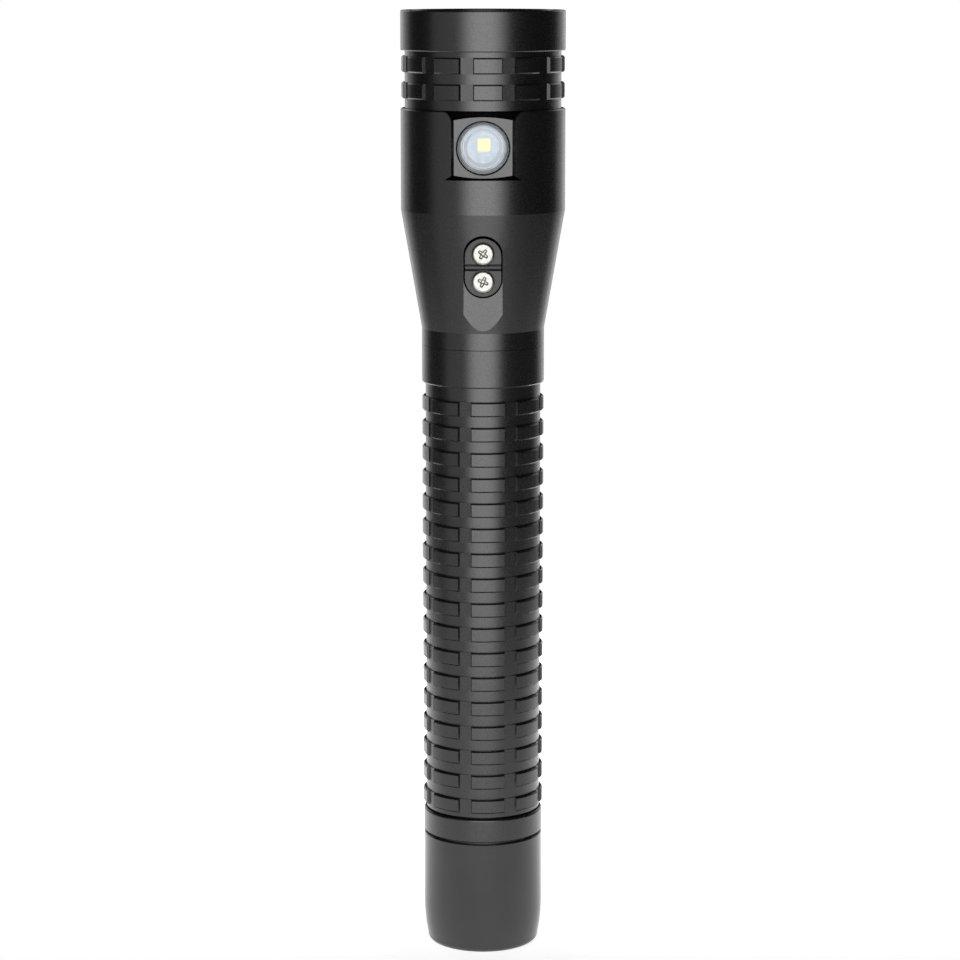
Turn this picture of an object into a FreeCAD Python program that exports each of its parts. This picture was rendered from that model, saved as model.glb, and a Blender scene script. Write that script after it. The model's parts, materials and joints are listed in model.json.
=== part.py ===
"""Dual-light duty flashlight, in millimetres.

The origin is the centre of the flat tail. +Z runs up the axis to the front
lens, the side light and the charging contacts face -Y, and the switches face +Y.
"""
import FreeCAD, Part
import math
import os

from FreeCAD import Vector

# ---- outside sizes along the axis, from the tail up ----
TAIL_BOOT_LENGTH = 29.25
TAIL_SEAM = 0.5
TAIL_RING_HEIGHT = 6.1
TAIL_GAP = 0.4
END_FLANGE_HEIGHT = 1.15
GRIP_ROWS = 17
GRIP_PITCH = 6.4125
GRIP_ROW_HEIGHT = 3.65
GRIP_TOP_GROOVE = 3.55
COLLAR_HEIGHT = 9.5
NECK_HEIGHT = 4.3
CONE_HEIGHT = 29.95
DRUM_HEIGHT = 25.4
FIN_ROW_HEIGHT = 4.0
FIN_GROOVES = (2.5, 2.5, 1.4)
BEZEL_HEIGHT = 9.9

# ---- outside radii ----
TAIL_R = 15.25
TAIL_BASE_R = 12.9
TAIL_CURVE_HEIGHT = 11.2
TAIL_EDGE_R = 14.3
TAIL_EDGE_HEIGHT = 1.7
GRIP_R = 15.45
GRIP_CORE_R = 14.6
NECK_R = 15.5
HEAD_R = 20.7
FIN_R = 20.5
FIN_CORE_R = 19.65

# ---- pads of the grip and of the cooling collar ----
GRIP_PADS = 8
GRIP_GAP = 2.94
GRIP_GAP_FLOOR = 14.78
GRIP_TURN = 5.0
GRIP_BEVEL = 0.35
GRIP_WALL_LEAN = 0.36
FIN_PADS = 12
FIN_GAP = 3.14
FIN_GAP_FLOOR = 19.7
FIN_TURN = 3.4
FIN_BEVEL = 0.35
FIN_WALL_LEAN = 0.38
GAP_BEVEL = 0.1

# ---- side light ----
FLOOD_BELOW_EDGE = 9.1
FLOOD_FACE = 18.1
FLOOD_PAD_HALF = 7.2
FLOOD_WALL_DRAFT = 0.64
FLOOD_GROOVE_R = 17.4
FLOOD_GROOVE_SINK = 2.0
FLOOD_GROOVE_DEPTH = 8.6
FLOOD_DRUM_RISE = 0.75
FLOOD_PAD_TOP = 7.6
FLOOD_PAD_BOTTOM = 7.4
FLOOD_TOP_ROUND = 3.4
FLOOD_TOP_SWEEP = 0.97
FLOOD_BOTTOM_GAP = 0.4
FLOOD_FLARE = 1.1
FLOOD_BORE_R = 6.72
FLOOD_SEAL_R = 0.16
FLOOD_LENS_R = 6.38
FLOOD_LENS_THICK = 2.2
FLOOD_LENS_PROUD = 0.15
FLOOD_LENS_BEVEL = 1.2
FLOOD_SEAT_THICK = 0.3
FLOOD_CUP_DEPTH = 2.8
FLOOD_CUP_MOUTH_R = 5.2
FLOOD_CUP_WALL_R = 4.4
FLOOD_CUP_FLOOR_R = 4.0
FLOOD_CUP_STEP = 0.9
FLOOD_CUP_PLAY = 0.15
FLOOD_BOARD_THICK = 1.2
FLOOD_BOARD_HALF = 5.0
FLOOD_LED_HALF = 1.75
FLOOD_LED_THICK = 0.8
FLOOD_LED_RISE = 0.6
FLOOD_LED_ASIDE = 0.25

# ---- charging contacts ----
SLOT_HALF = 4.88
SLOT_FLOOR = 15.62
CONTACT_DROP = 63.0
CONTACT_PITCH = 6.9
CONTACT_BLOCK_HALF = 4.5
CONTACT_BLOCK_LENGTH = 14.4
CONTACT_BLOCK_PROUD = 0.7
CONTACT_BLOCK_DEPTH = 3.9
CONTACT_VALLEY_HALF = 0.85
CONTACT_GAP_TOP = 1.0
CONTACT_GAP_BOTTOM = 0.5
CONTACT_VALLEY_DEPTH = 0.6
CONTACT_SCREW_HEAD_R = 2.75
CONTACT_SCREW_HEAD = 1.7
CONTACT_SCREW_SEAT = 0.35
CONTACT_SCREW_R = 1.45
CONTACT_SCREW_TURNS = (22.0, 35.0)
CONTACT_SCREW_SHANK = 3.6
CONTACT_SCREW_FLAT = 0.78
CONTACT_SCREW_SHOULDER = 1.15
CROSS_R = 0.48
CROSS_LENGTH = 2.9
CROSS_SINK = 0.12
CROSS_DEPTH = 1.1
INSERT_R = 2.05
INSERT_PIN_R = 0.6

# ---- switches ----
SWITCH_DROP = 62.9
KEY_PITCH = 10.0
KEY_R = 3.6
KEY_FLANGE = 0.4
KEY_FLANGE_THICK = 0.6
KEY_PROUD = 0.8
KEY_EDGE = 0.35
KEY_MARK = 0.25
SWITCH_PLATE_RIM = 1.75
SWITCH_PLATE_END = 0.9
SWITCH_PLATE_THICK = 1.6
SWITCH_PLATE_WEB = 0.7
SWITCH_SLOT_GAP = 0.5
SWITCH_SCREW_HEAD_R = 1.7
SWITCH_SCREW_R = 0.9
SWITCH_SCREW_LENGTH = 4.2
MEMBRANE_THICK = 0.8
MEMBRANE_DROP = 0.42
SWITCH_WELL_HALF = 4.7
SWITCH_WELL_LENGTH = 18.6
SWITCH_BOARD_HALF = 3.9
SWITCH_BOARD_LENGTH = 17.0
SWITCH_BOARD_THICK = 0.9
SWITCH_WELL_DEPTH = 3.7
TACT_HALF = 2.2
TACT_THICK = 1.1

# ---- inside of the head ----
BEZEL_LIP = 1.6
BEZEL_OPENING_R = 17.3
BEZEL_OUTER_EDGE = 0.25
BEZEL_INNER_EDGE = 0.7
GASKET_THICK = 0.6
LENS_THICK = 2.4
LENS_R = 18.4
REFLECTOR_RIM = 1.0
REFLECTOR_R = 17.0
REFLECTOR_WALL = 0.9
BEZEL_SPIGOT_R = 18.8
COLLAR_BORE_R = 18.05
HEAD_SPIGOT_HEIGHT = 4.0
HEAD_SPIGOT_R = 18.4
HEAT_SINK_R = 14.6
HEAT_SINK_TOP = 1.2
HEAT_SINK_LENGTH = 18.8
MAIN_BOARD_R = 9.6
MAIN_BOARD_THICK = 1.6
MAIN_LED_HALF = 2.5
MAIN_LED_THICK = 0.6
MAIN_DOME_R = 1.9
CENTRING_RING_R = 5.6
CENTRING_RING_BORE = 3.8
HEAD_MID_BORE_R = 13.8
HEAD_MID_BORE_LENGTH = 6.0
HEAD_BORE_R = 10.2
HEAD_THREAD_LENGTH = 10.6
HEAD_THREAD_R = 13.4
HEAD_SEAL_DROP = 2.4
SPIGOT_BORE_R = 11.6
SPIGOT_BORE_LENGTH = 6.0

# ---- battery and contacts ----
CELL_R = 9.2
CELL_LENGTH = 65.0
SLEEVE_WALL = 0.5
NUB_HEIGHT = 1.2
NUB_R = 3.6
BATTERY_CAP_THICK = 1.2
CARRIER_THICK = 3.6
RETAINER_THICK = 1.0
CONTACT_PIN_R = 2.2
DRIVER_R = 9.7
DRIVER_THICK = 1.4
COIL_R = 2.8
COIL_BORE_R = 0.9
COIL_HEIGHT = 3.0
COIL_PLACE = (-4.4, -0.5)
CHIP_SIZE = (4.6, 4.0, 1.2)
CHIP_PLACE = (2.2, 1.2)
REGULATOR_SIZE = (3.2, 3.2, 1.0)
REGULATOR_PLACE = (2.6, -4.6)
MAIN_LEAD_X = 4.0
MAIN_LEAD_Y = 7.0
FLOOD_LEAD_X = 2.5
FLOOD_LEAD_Y = 7.6
TERMINAL_R = 7.6
TERMINAL_THICK = 0.4
RETAINER_BORE_R = 8.0
PIN_FLANGE_R = 3.6
PIN_FLANGE_THICK = 0.9

# ---- tail ----
BATTERY_BORE_R = 10.7
TAIL_NECK_LENGTH = 12.4
TAIL_THREAD_R = 12.55
TAIL_LAND_R = 13.3
TAIL_LAND_HEIGHT = 4.4
TAIL_CORE_BORE_R = 13.38
TAIL_CORE_R = 14.4
TAIL_CORE_TOP = 34.0
TAIL_BOOT_FLOOR = 4.0
TAIL_CORE_FLOOR = 1.9
TAIL_CAVITY_R = 11.4
TAIL_PLATE_THICK = 0.5
SPRING_WIRE_R = 0.5
SPRING_WIRE_SIDES = 10
SPRING_R = 6.0
SPRING_LENGTH = 5.4
SPRING_TURNS = 3

# ---- fits ----
SLIP = 0.1
LOOSE = 0.3
FACE_GAP = 0.05
JOINT_EDGE = 0.05
WIRE_R = 0.55
WIRE_HOLE = 0.35
SEAL_R = 0.8

# ---- stations up the axis, worked out from the sizes above ----
RING_BOTTOM = TAIL_BOOT_LENGTH + TAIL_SEAM
RING_TOP = RING_BOTTOM + TAIL_RING_HEIGHT
FLANGE_BOTTOM = RING_TOP + TAIL_GAP
ROWS_BOTTOM = FLANGE_BOTTOM + END_FLANGE_HEIGHT
ROWS_TOP = ROWS_BOTTOM + (GRIP_ROWS - 1) * GRIP_PITCH + GRIP_ROW_HEIGHT
COLLAR_BOTTOM = ROWS_TOP + GRIP_TOP_GROOVE
HANDLE_TOP = COLLAR_BOTTOM + COLLAR_HEIGHT
CONE_BOTTOM = HANDLE_TOP + NECK_HEIGHT
CONE_TOP = CONE_BOTTOM + CONE_HEIGHT
HEAD_TOP = CONE_TOP + DRUM_HEIGHT
FIN_ROW_1 = HEAD_TOP + FIN_GROOVES[0]
FIN_ROW_2 = FIN_ROW_1 + FIN_ROW_HEIGHT + FIN_GROOVES[1]
BEZEL_BOTTOM = FIN_ROW_2 + FIN_ROW_HEIGHT + FIN_GROOVES[2]
TOP = BEZEL_BOTTOM + BEZEL_HEIGHT

FLOOD_Z = HEAD_TOP - FLOOD_BELOW_EDGE
CONTACT_Z = TOP - CONTACT_DROP
SWITCH_Z = TOP - SWITCH_DROP
SWITCH_PLATE_HALF = KEY_R + KEY_FLANGE + SWITCH_PLATE_RIM
SWITCH_SCREW_PITCH = KEY_PITCH + 2 * (KEY_R + KEY_FLANGE + SWITCH_SCREW_HEAD_R)
SWITCH_PLATE_LENGTH = SWITCH_SCREW_PITCH + 2 * (SWITCH_SCREW_HEAD_R + SWITCH_PLATE_END)

LENS_TOP = TOP - BEZEL_LIP - GASKET_THICK
LENS_BOTTOM = LENS_TOP - LENS_THICK
RIM_BOTTOM = LENS_BOTTOM - REFLECTOR_RIM
HEAT_SINK_SEAT = HEAD_TOP + HEAT_SINK_TOP
LED_BASE = HEAT_SINK_SEAT + MAIN_BOARD_THICK
LED_GLOW = LED_BASE + MAIN_LED_THICK + 0.4
HEAT_SINK_FLOOR = HEAT_SINK_SEAT - HEAT_SINK_LENGTH

SPIGOT_BOTTOM = HANDLE_TOP - HEAD_THREAD_LENGTH
SPIGOT_STEP = SPIGOT_BOTTOM + SPIGOT_BORE_LENGTH
CARRIER_BOTTOM = SPIGOT_STEP - CARRIER_THICK
RETAINER_BOTTOM = CARRIER_BOTTOM - RETAINER_THICK
MID_BORE_BOTTOM = HEAT_SINK_FLOOR - HEAD_MID_BORE_LENGTH
DRIVER_Z = CONE_BOTTOM + 4.0

TAIL_NECK_BOTTOM = FLANGE_BOTTOM - TAIL_NECK_LENGTH
LAND_BOTTOM = FLANGE_BOTTOM - TAIL_LAND_HEIGHT
CORE_BOTTOM = TAIL_BOOT_FLOOR + SLIP
PLATE_BOTTOM = CORE_BOTTOM + TAIL_CORE_FLOOR + FACE_GAP
SPRING_BOTTOM = PLATE_BOTTOM + TAIL_PLATE_THICK
BATTERY_BOTTOM = SPRING_BOTTOM + SPRING_LENGTH
CELLS_BOTTOM = BATTERY_BOTTOM + BATTERY_CAP_THICK
CELLS_TOP = CELLS_BOTTOM + 2 * CELL_LENGTH
BATTERY_TOP = CELLS_TOP + NUB_HEIGHT


# ---- shape helpers ----
def turned(points):
    """Turn a closed outline of (radius, height) points about the Z axis."""
    corners = [Vector(r, 0, z) for r, z in points]
    outline = Part.makePolygon(corners + corners[:1])
    return Part.Face(outline).revolve(Vector(0, 0, 0), Vector(0, 0, 1), 360)


def tube(outer, inner, bottom, top):
    """A plain ring between two heights."""
    return turned([(inner, bottom), (outer, bottom), (outer, top), (inner, top)])


def disc(radius, bottom, top):
    return Part.makeCylinder(radius, top - bottom, Vector(0, 0, bottom))


def cylinder_y(radius, near, far, height, x=0.0):
    """A cylinder along Y from y=near to y=far, centred at (x, height)."""
    return Part.makeCylinder(radius, far - near, Vector(x, near, height), Vector(0, 1, 0))


def block(x_half, near, far, bottom, top):
    """A box centred on x=0, from y=near to y=far."""
    return Part.makeBox(2 * x_half, far - near, top - bottom, Vector(-x_half, near, bottom))


def stadium(half, length, near, far, centre):
    """A round-ended bar standing along Z, from y=near to y=far."""
    reach = length / 2 - half
    body = block(half, near, far, centre - reach, centre + reach)
    for end in (-reach, reach):
        body = body.fuse(cylinder_y(half, near, far, centre + end))
    return body.removeSplitter()


def turned_y(points, height):
    """Turn an outline of (radius, y) points about the Y direction at a height."""
    corners = [Vector(r, y, height) for r, y in points]
    outline = Part.makePolygon(corners + corners[:1])
    return Part.Face(outline).revolve(Vector(0, 0, height), Vector(0, 1, 0), 360)


def group(solids):
    return Part.makeCompound(solids)


def gap_cutter(half, floor, outer, lean, bottom, top):
    """A flat-floored slot along Z on the -Y side, with leaning walls and broken edges."""
    flare = 1.5
    lip = half + lean
    edge = lip + GAP_BEVEL + flare
    profile = [
        (-half, floor), (-lip, outer - GAP_BEVEL), (-edge, outer + flare),
        (edge, outer + flare), (lip, outer - GAP_BEVEL), (half, floor),
    ]
    corners = [Vector(x, -y, bottom) for x, y in profile]
    face = Part.Face(Part.makePolygon(corners + corners[:1]))
    return face.extrude(Vector(0, 0, top - bottom))


def cut_gaps(body, count, gap, floor, outer, lean, turn, bottom, top):
    """Cut the evenly spaced gaps that split each ridge into pads."""
    first = gap_cutter(gap / 2, floor, outer, lean, bottom, top)
    cutters = []
    for index in range(count):
        cutter = first.copy()
        angle = turn + (index + 0.5) * 360.0 / count
        cutter.rotate(Vector(0, 0, 0), Vector(0, 0, 1), angle)
        cutters.append(cutter)
    return body.cut(group(cutters))


def ridge(core, outer, bevel, bottom, height):
    """Outline points of one bevelled ridge, from its bottom to its top."""
    top = bottom + height
    return [
        (core, bottom), (outer - bevel, bottom), (outer, bottom + bevel),
        (outer, top - bevel), (outer - bevel, top), (core, top),
    ]


def ring_seal(radius, height, thickness):
    """An O-ring that lies level, its centre line at the given radius."""
    return Part.makeTorus(radius, thickness, Vector(0, 0, height))


def wire(points, radius):
    """A wire of straight runs with rounded elbows."""
    shape = None
    for start, end in zip(points, points[1:]):
        run = Vector(*end).sub(Vector(*start))
        piece = Part.makeCylinder(radius, run.Length, Vector(*start), run)
        shape = piece if shape is None else shape.fuse(piece)
    for corner in points[1:-1]:
        shape = shape.fuse(Part.makeSphere(radius, Vector(*corner)))
    return shape


# ---- tail ----
def tail_boot():
    """Moulded end cover: straight sides, a long soft curve, then a tight corner."""
    side = Vector(TAIL_R, 0, TAIL_CURVE_HEIGHT)
    edge = Vector(TAIL_EDGE_R, 0, TAIL_EDGE_HEIGHT)
    base = Vector(TAIL_BASE_R, 0, 0)
    curve_mid = Vector(TAIL_R - (TAIL_R - TAIL_EDGE_R) * 0.24, 0,
                       (TAIL_CURVE_HEIGHT + TAIL_EDGE_HEIGHT) / 2)
    corner_mid = Vector(TAIL_EDGE_R - (TAIL_EDGE_R - TAIL_BASE_R) * 0.3, 0, TAIL_EDGE_HEIGHT * 0.3)
    inner_r = TAIL_CORE_R + SLIP
    lip = 0.25
    outline = [
        Part.LineSegment(Vector(0, 0, 0), base),
        Part.Arc(base, corner_mid, edge),
        Part.Arc(edge, curve_mid, side),
        Part.LineSegment(side, Vector(TAIL_R, 0, TAIL_BOOT_LENGTH - lip)),
    ]
    walls = [
        Vector(TAIL_R, 0, TAIL_BOOT_LENGTH - lip), Vector(TAIL_R - lip, 0, TAIL_BOOT_LENGTH),
        Vector(inner_r, 0, TAIL_BOOT_LENGTH), Vector(inner_r, 0, TAIL_BOOT_FLOOR),
        Vector(0, 0, TAIL_BOOT_FLOOR), Vector(0, 0, 0),
    ]
    outline += [Part.LineSegment(a, b) for a, b in zip(walls, walls[1:])]
    face = Part.Face(Part.Wire([piece.toShape() for piece in outline]))
    return face.revolve(Vector(0, 0, 0), Vector(0, 0, 1), 360)


def tail_core():
    """Threaded metal cup inside the boot; its thread is a plain bore here."""
    floor = CORE_BOTTOM + TAIL_CORE_FLOOR
    step = TAIL_NECK_BOTTOM - LOOSE
    return turned([
        (0, CORE_BOTTOM), (TAIL_CORE_R, CORE_BOTTOM), (TAIL_CORE_R, TAIL_CORE_TOP),
        (TAIL_CORE_BORE_R, TAIL_CORE_TOP), (TAIL_CORE_BORE_R, step), (TAIL_CAVITY_R, step),
        (TAIL_CAVITY_R, floor), (0, floor),
    ])


def tail_ring():
    """Metal ring above the seam, with a round top edge."""
    inner_r = TAIL_CORE_R + SLIP
    shelf = TAIL_CORE_TOP + SLIP
    round_r = 0.6
    lip = 0.25
    straight = [
        Vector(TAIL_R - round_r, 0, RING_TOP), Vector(TAIL_CORE_BORE_R, 0, RING_TOP),
        Vector(TAIL_CORE_BORE_R, 0, shelf), Vector(inner_r, 0, shelf),
        Vector(inner_r, 0, RING_BOTTOM), Vector(TAIL_R - lip, 0, RING_BOTTOM),
        Vector(TAIL_R, 0, RING_BOTTOM + lip), Vector(TAIL_R, 0, RING_TOP - round_r),
    ]
    edges = [Part.makeLine(a, b) for a, b in zip(straight, straight[1:])]
    bulge = round_r * (1 - math.sqrt(0.5))
    arc_mid = Vector(TAIL_R - bulge, 0, RING_TOP - bulge)
    edges.append(Part.Arc(straight[-1], arc_mid, straight[0]).toShape())
    face = Part.Face(Part.Wire(edges))
    return face.revolve(Vector(0, 0, 0), Vector(0, 0, 1), 360)


def tail_contact_plate():
    radius = TAIL_CAVITY_R - LOOSE
    return disc(radius, PLATE_BOTTOM, PLATE_BOTTOM + TAIL_PLATE_THICK)


def tail_spring():
    """Coil spring that presses the battery forward, of ten-sided wire."""
    low = SPRING_BOTTOM + SPRING_WIRE_R + FACE_GAP
    rise = SPRING_LENGTH - 2 * (SPRING_WIRE_R + FACE_GAP)
    path = Part.Wire(Part.makeHelix(rise / SPRING_TURNS, rise, SPRING_R))
    path.translate(Vector(0, 0, low))
    corners = []
    for side in range(SPRING_WIRE_SIDES):
        angle = 2 * math.pi * side / SPRING_WIRE_SIDES
        across = SPRING_WIRE_R * math.cos(angle)
        corners.append(Vector(SPRING_R + across, 0, low + SPRING_WIRE_R * math.sin(angle)))
    section = Part.makePolygon(corners + corners[:1])
    return path.makePipeShell([section], True, True)


def tail_o_ring():
    return ring_seal(TAIL_LAND_R - SEAL_R, LAND_BOTTOM + TAIL_LAND_HEIGHT / 2, SEAL_R - 0.02)


# ---- handle ----
def handle_tube():
    """Grip tube with its collar, rings of pads, end flange and tail neck."""
    groove = SEAL_R + FACE_GAP
    seal_z = LAND_BOTTOM + TAIL_LAND_HEIGHT / 2
    edge = 0.15
    outline = [
        (BATTERY_BORE_R, TAIL_NECK_BOTTOM), (TAIL_THREAD_R, TAIL_NECK_BOTTOM),
        (TAIL_THREAD_R, LAND_BOTTOM), (TAIL_LAND_R, LAND_BOTTOM),
        (TAIL_LAND_R, seal_z - groove), (TAIL_LAND_R - 2 * groove, seal_z - groove),
        (TAIL_LAND_R - 2 * groove, seal_z + groove), (TAIL_LAND_R, seal_z + groove),
        (TAIL_LAND_R, FLANGE_BOTTOM), (GRIP_CORE_R, FLANGE_BOTTOM), (GRIP_CORE_R, ROWS_BOTTOM),
    ]
    for row in range(GRIP_ROWS):
        bottom = ROWS_BOTTOM + row * GRIP_PITCH
        outline += ridge(GRIP_CORE_R, GRIP_R, GRIP_BEVEL, bottom, GRIP_ROW_HEIGHT)
    bore_step = SPIGOT_BOTTOM - FACE_GAP
    thread_bore = HEAD_THREAD_R + SLIP
    outline += [
        (GRIP_CORE_R, COLLAR_BOTTOM), (NECK_R - 2 * edge, COLLAR_BOTTOM),
        (NECK_R, COLLAR_BOTTOM + 2 * edge), (NECK_R, HANDLE_TOP - JOINT_EDGE),
        (NECK_R - JOINT_EDGE, HANDLE_TOP), (thread_bore, HANDLE_TOP), (thread_bore, bore_step),
        (BATTERY_BORE_R, bore_step),
    ]
    clean = [p for i, p in enumerate(outline) if i == 0 or p != outline[i - 1]]
    body = turned(clean)
    half_groove = (GRIP_PITCH - GRIP_ROW_HEIGHT) / 2
    return cut_gaps(body, GRIP_PADS, GRIP_GAP, GRIP_GAP_FLOOR, GRIP_R, GRIP_WALL_LEAN, GRIP_TURN,
                    ROWS_BOTTOM - half_groove, ROWS_TOP + half_groove)


def head_o_ring():
    """Seal in the neck joint, in a groove of the head's spigot."""
    return ring_seal(HEAD_THREAD_R - SEAL_R, HANDLE_TOP - HEAD_SEAL_DROP, SEAL_R - 0.02)


# ---- head body ----
def flood_window():
    """Drafted opening round the side light, wide open at the top."""
    inner = flood_outline(FLOOD_PAD_HALF)
    reach = HEAD_R + 1.0 - FLOOD_FACE
    outer = flood_outline(FLOOD_PAD_HALF + reach * FLOOD_WALL_DRAFT)
    outer.translate(Vector(0, -reach, 0))
    window = Part.makeLoft([inner, outer], True, True)
    well = Part.Face(inner).extrude(Vector(0, FLOOD_GROOVE_DEPTH, 0))
    return window.fuse(well)


def flood_outline(half):
    """Front outline of the opening, on the plane of the side light's face."""
    y = -FLOOD_FACE
    floor = FLOOD_Z - FLOOD_PAD_BOTTOM - FLOOD_BOTTOM_GAP
    shelf_x = half + FLOOD_TOP_ROUND * FLOOD_TOP_SWEEP
    shelf_z = HEAD_TOP
    drop = FLOOD_TOP_ROUND * (1 - math.sqrt(1 - FLOOD_TOP_SWEEP ** 2))
    sweep = math.asin(FLOOD_TOP_SWEEP) / 2
    mid_x = shelf_x - FLOOD_TOP_ROUND * math.sin(sweep)
    mid_z = shelf_z - FLOOD_TOP_ROUND * (1 - math.cos(sweep))
    flare_x = half + 2 * FLOOD_FLARE
    left = [
        Part.makeLine(Vector(-flare_x, y, floor), Vector(-half, y, floor + FLOOD_FLARE)),
        Part.makeLine(Vector(-half, y, floor + FLOOD_FLARE), Vector(-half, y, shelf_z - drop)),
        Part.Arc(Vector(-half, y, shelf_z - drop), Vector(-mid_x, y, mid_z),
                 Vector(-shelf_x, y, shelf_z)).toShape(),
        Part.makeLine(Vector(-shelf_x, y, shelf_z), Vector(-shelf_x, y, shelf_z + 1)),
        Part.makeLine(Vector(-shelf_x, y, shelf_z + 1), Vector(shelf_x, y, shelf_z + 1)),
    ]
    right = [
        Part.makeLine(Vector(shelf_x, y, shelf_z + 1), Vector(shelf_x, y, shelf_z)),
        Part.Arc(Vector(shelf_x, y, shelf_z), Vector(mid_x, y, mid_z),
                 Vector(half, y, shelf_z - drop)).toShape(),
        Part.makeLine(Vector(half, y, shelf_z - drop), Vector(half, y, floor + FLOOD_FLARE)),
        Part.makeLine(Vector(half, y, floor + FLOOD_FLARE), Vector(flare_x, y, floor)),
        Part.makeLine(Vector(flare_x, y, floor), Vector(-flare_x, y, floor)),
    ]
    return Part.Wire(left + right)


def flood_drum():
    """What stays behind the opening: a drum with one flat face, sunk away all round it."""
    low = FLOOD_Z - FLOOD_PAD_BOTTOM
    high = FLOOD_Z + FLOOD_PAD_TOP
    corner_r = math.hypot(FLOOD_FACE, FLOOD_PAD_HALF)
    slope = FLOOD_DRUM_RISE / (corner_r - FLOOD_FACE)
    reach = HEAD_R + 1.5
    outward = (reach - FLOOD_FACE) * slope
    inward = (FLOOD_FACE - FLOOD_GROOVE_R) * slope
    deep_r = FLOOD_GROOVE_R - FLOOD_GROOVE_SINK
    drum = turned([
        (0, low - 3), (deep_r, low - 3), (deep_r, low - inward - FLOOD_GROOVE_SINK),
        (FLOOD_GROOVE_R, low - inward), (reach, low + outward), (reach, high - outward),
        (FLOOD_GROOVE_R, high + inward), (deep_r, high + inward + FLOOD_GROOVE_SINK),
        (deep_r, HEAD_TOP + 3), (0, HEAD_TOP + 3),
    ])
    half_space = Part.makeBox(80, 80, 80, Vector(-40, -FLOOD_FACE, FLOOD_Z - 40))
    return drum.common(half_space)


def contact_slot():
    """Flat slot down the cone that the charging contacts stand in."""
    top = CONTACT_Z + CONTACT_BLOCK_LENGTH / 2 + CONTACT_GAP_TOP - SLOT_HALF
    slot = block(SLOT_HALF, -HEAD_R - 1, -SLOT_FLOOR, CONE_BOTTOM - 1, top)
    return slot.fuse(cylinder_y(SLOT_HALF, -HEAD_R - 1, -SLOT_FLOOR, top))


def contact_well():
    """Pocket as wide as the slot, and wire holes, under the contact block."""
    length = CONTACT_BLOCK_LENGTH + CONTACT_GAP_TOP + CONTACT_GAP_BOTTOM
    middle = CONTACT_Z + (CONTACT_GAP_TOP - CONTACT_GAP_BOTTOM) / 2
    back = SLOT_FLOOR - CONTACT_BLOCK_DEPTH - FACE_GAP
    well = stadium(SLOT_HALF, length, -SLOT_FLOOR - 1, -back, middle)
    for height in contact_heights():
        well = well.fuse(cylinder_y(2 * INSERT_PIN_R, -back - 1, -HEAD_BORE_R + 2, height))
    return well


def contact_heights():
    return (CONTACT_Z - CONTACT_PITCH / 2, CONTACT_Z + CONTACT_PITCH / 2)


def switch_recess():
    """Flat recess, membrane ledge, board well, screw holes and a wire hole."""
    half = SWITCH_PLATE_HALF + SWITCH_SLOT_GAP
    top = SWITCH_Z + SWITCH_PLATE_LENGTH / 2 + SWITCH_SLOT_GAP - half
    cut = block(half, SLOT_FLOOR, HEAD_R + 1, CONE_BOTTOM - 1, top)
    cut = cut.fuse(cylinder_y(half, SLOT_FLOOR, HEAD_R + 1, top))
    ledge = SLOT_FLOOR - MEMBRANE_DROP - MEMBRANE_THICK
    cut = cut.fuse(stadium(SWITCH_WELL_HALF, SWITCH_WELL_LENGTH, ledge, SLOT_FLOOR + 1, SWITCH_Z))
    floor = SLOT_FLOOR - SWITCH_WELL_DEPTH
    half_board = SWITCH_BOARD_HALF + SLIP
    cut = cut.fuse(stadium(half_board, SWITCH_BOARD_LENGTH + 2 * SLIP, floor, ledge + 1, SWITCH_Z))
    for height in switch_screw_heights():
        depth = SWITCH_SCREW_LENGTH - SWITCH_PLATE_THICK + LOOSE
        cut = cut.fuse(cylinder_y(SWITCH_SCREW_R + FACE_GAP, SLOT_FLOOR - depth, SLOT_FLOOR + 1, height))
    return cut.fuse(cylinder_y(1.5, HEAD_BORE_R - 2, floor + 1, SWITCH_Z))


def switch_screw_heights():
    return (SWITCH_Z - SWITCH_SCREW_PITCH / 2, SWITCH_Z + SWITCH_SCREW_PITCH / 2)


def key_heights():
    return (SWITCH_Z - KEY_PITCH / 2, SWITCH_Z + KEY_PITCH / 2)


def head_body():
    """Machined head: spigot, neck, cone and drum, with its pockets."""
    edge = JOINT_EDGE
    top_edge = 0.3
    groove = SEAL_R + FACE_GAP
    seal_z = HANDLE_TOP - HEAD_SEAL_DROP
    body = turned([
        (SPIGOT_BORE_R, SPIGOT_BOTTOM), (HEAD_THREAD_R, SPIGOT_BOTTOM),
        (HEAD_THREAD_R, seal_z - groove), (HEAD_THREAD_R - 2 * groove, seal_z - groove),
        (HEAD_THREAD_R - 2 * groove, seal_z + groove), (HEAD_THREAD_R, seal_z + groove),
        (HEAD_THREAD_R, HANDLE_TOP + FACE_GAP), (NECK_R - edge, HANDLE_TOP + FACE_GAP),
        (NECK_R, HANDLE_TOP + FACE_GAP + edge), (NECK_R, CONE_BOTTOM), (HEAD_R, CONE_TOP),
        (HEAD_R, HEAD_TOP - top_edge), (HEAD_R - top_edge, HEAD_TOP),
        (HEAD_SPIGOT_R, HEAD_TOP), (HEAD_SPIGOT_R, HEAD_TOP + HEAD_SPIGOT_HEIGHT),
        (HEAT_SINK_R + SLIP, HEAD_TOP + HEAD_SPIGOT_HEIGHT),
        (HEAT_SINK_R + SLIP, HEAT_SINK_FLOOR), (HEAD_MID_BORE_R, HEAT_SINK_FLOOR),
        (HEAD_MID_BORE_R, MID_BORE_BOTTOM), (HEAD_BORE_R, MID_BORE_BOTTOM),
        (HEAD_BORE_R, SPIGOT_STEP), (SPIGOT_BORE_R, SPIGOT_STEP),
    ])
    window = flood_window().cut(flood_drum())
    flood_bore = cylinder_y(FLOOD_BORE_R, -HEAD_R - 1, -flood_board_back(), FLOOD_Z)
    body = body.cut(window)
    body = body.cut(flood_bore)
    body = body.cut(contact_slot().fuse(contact_well()))
    return body.cut(switch_recess())


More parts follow.
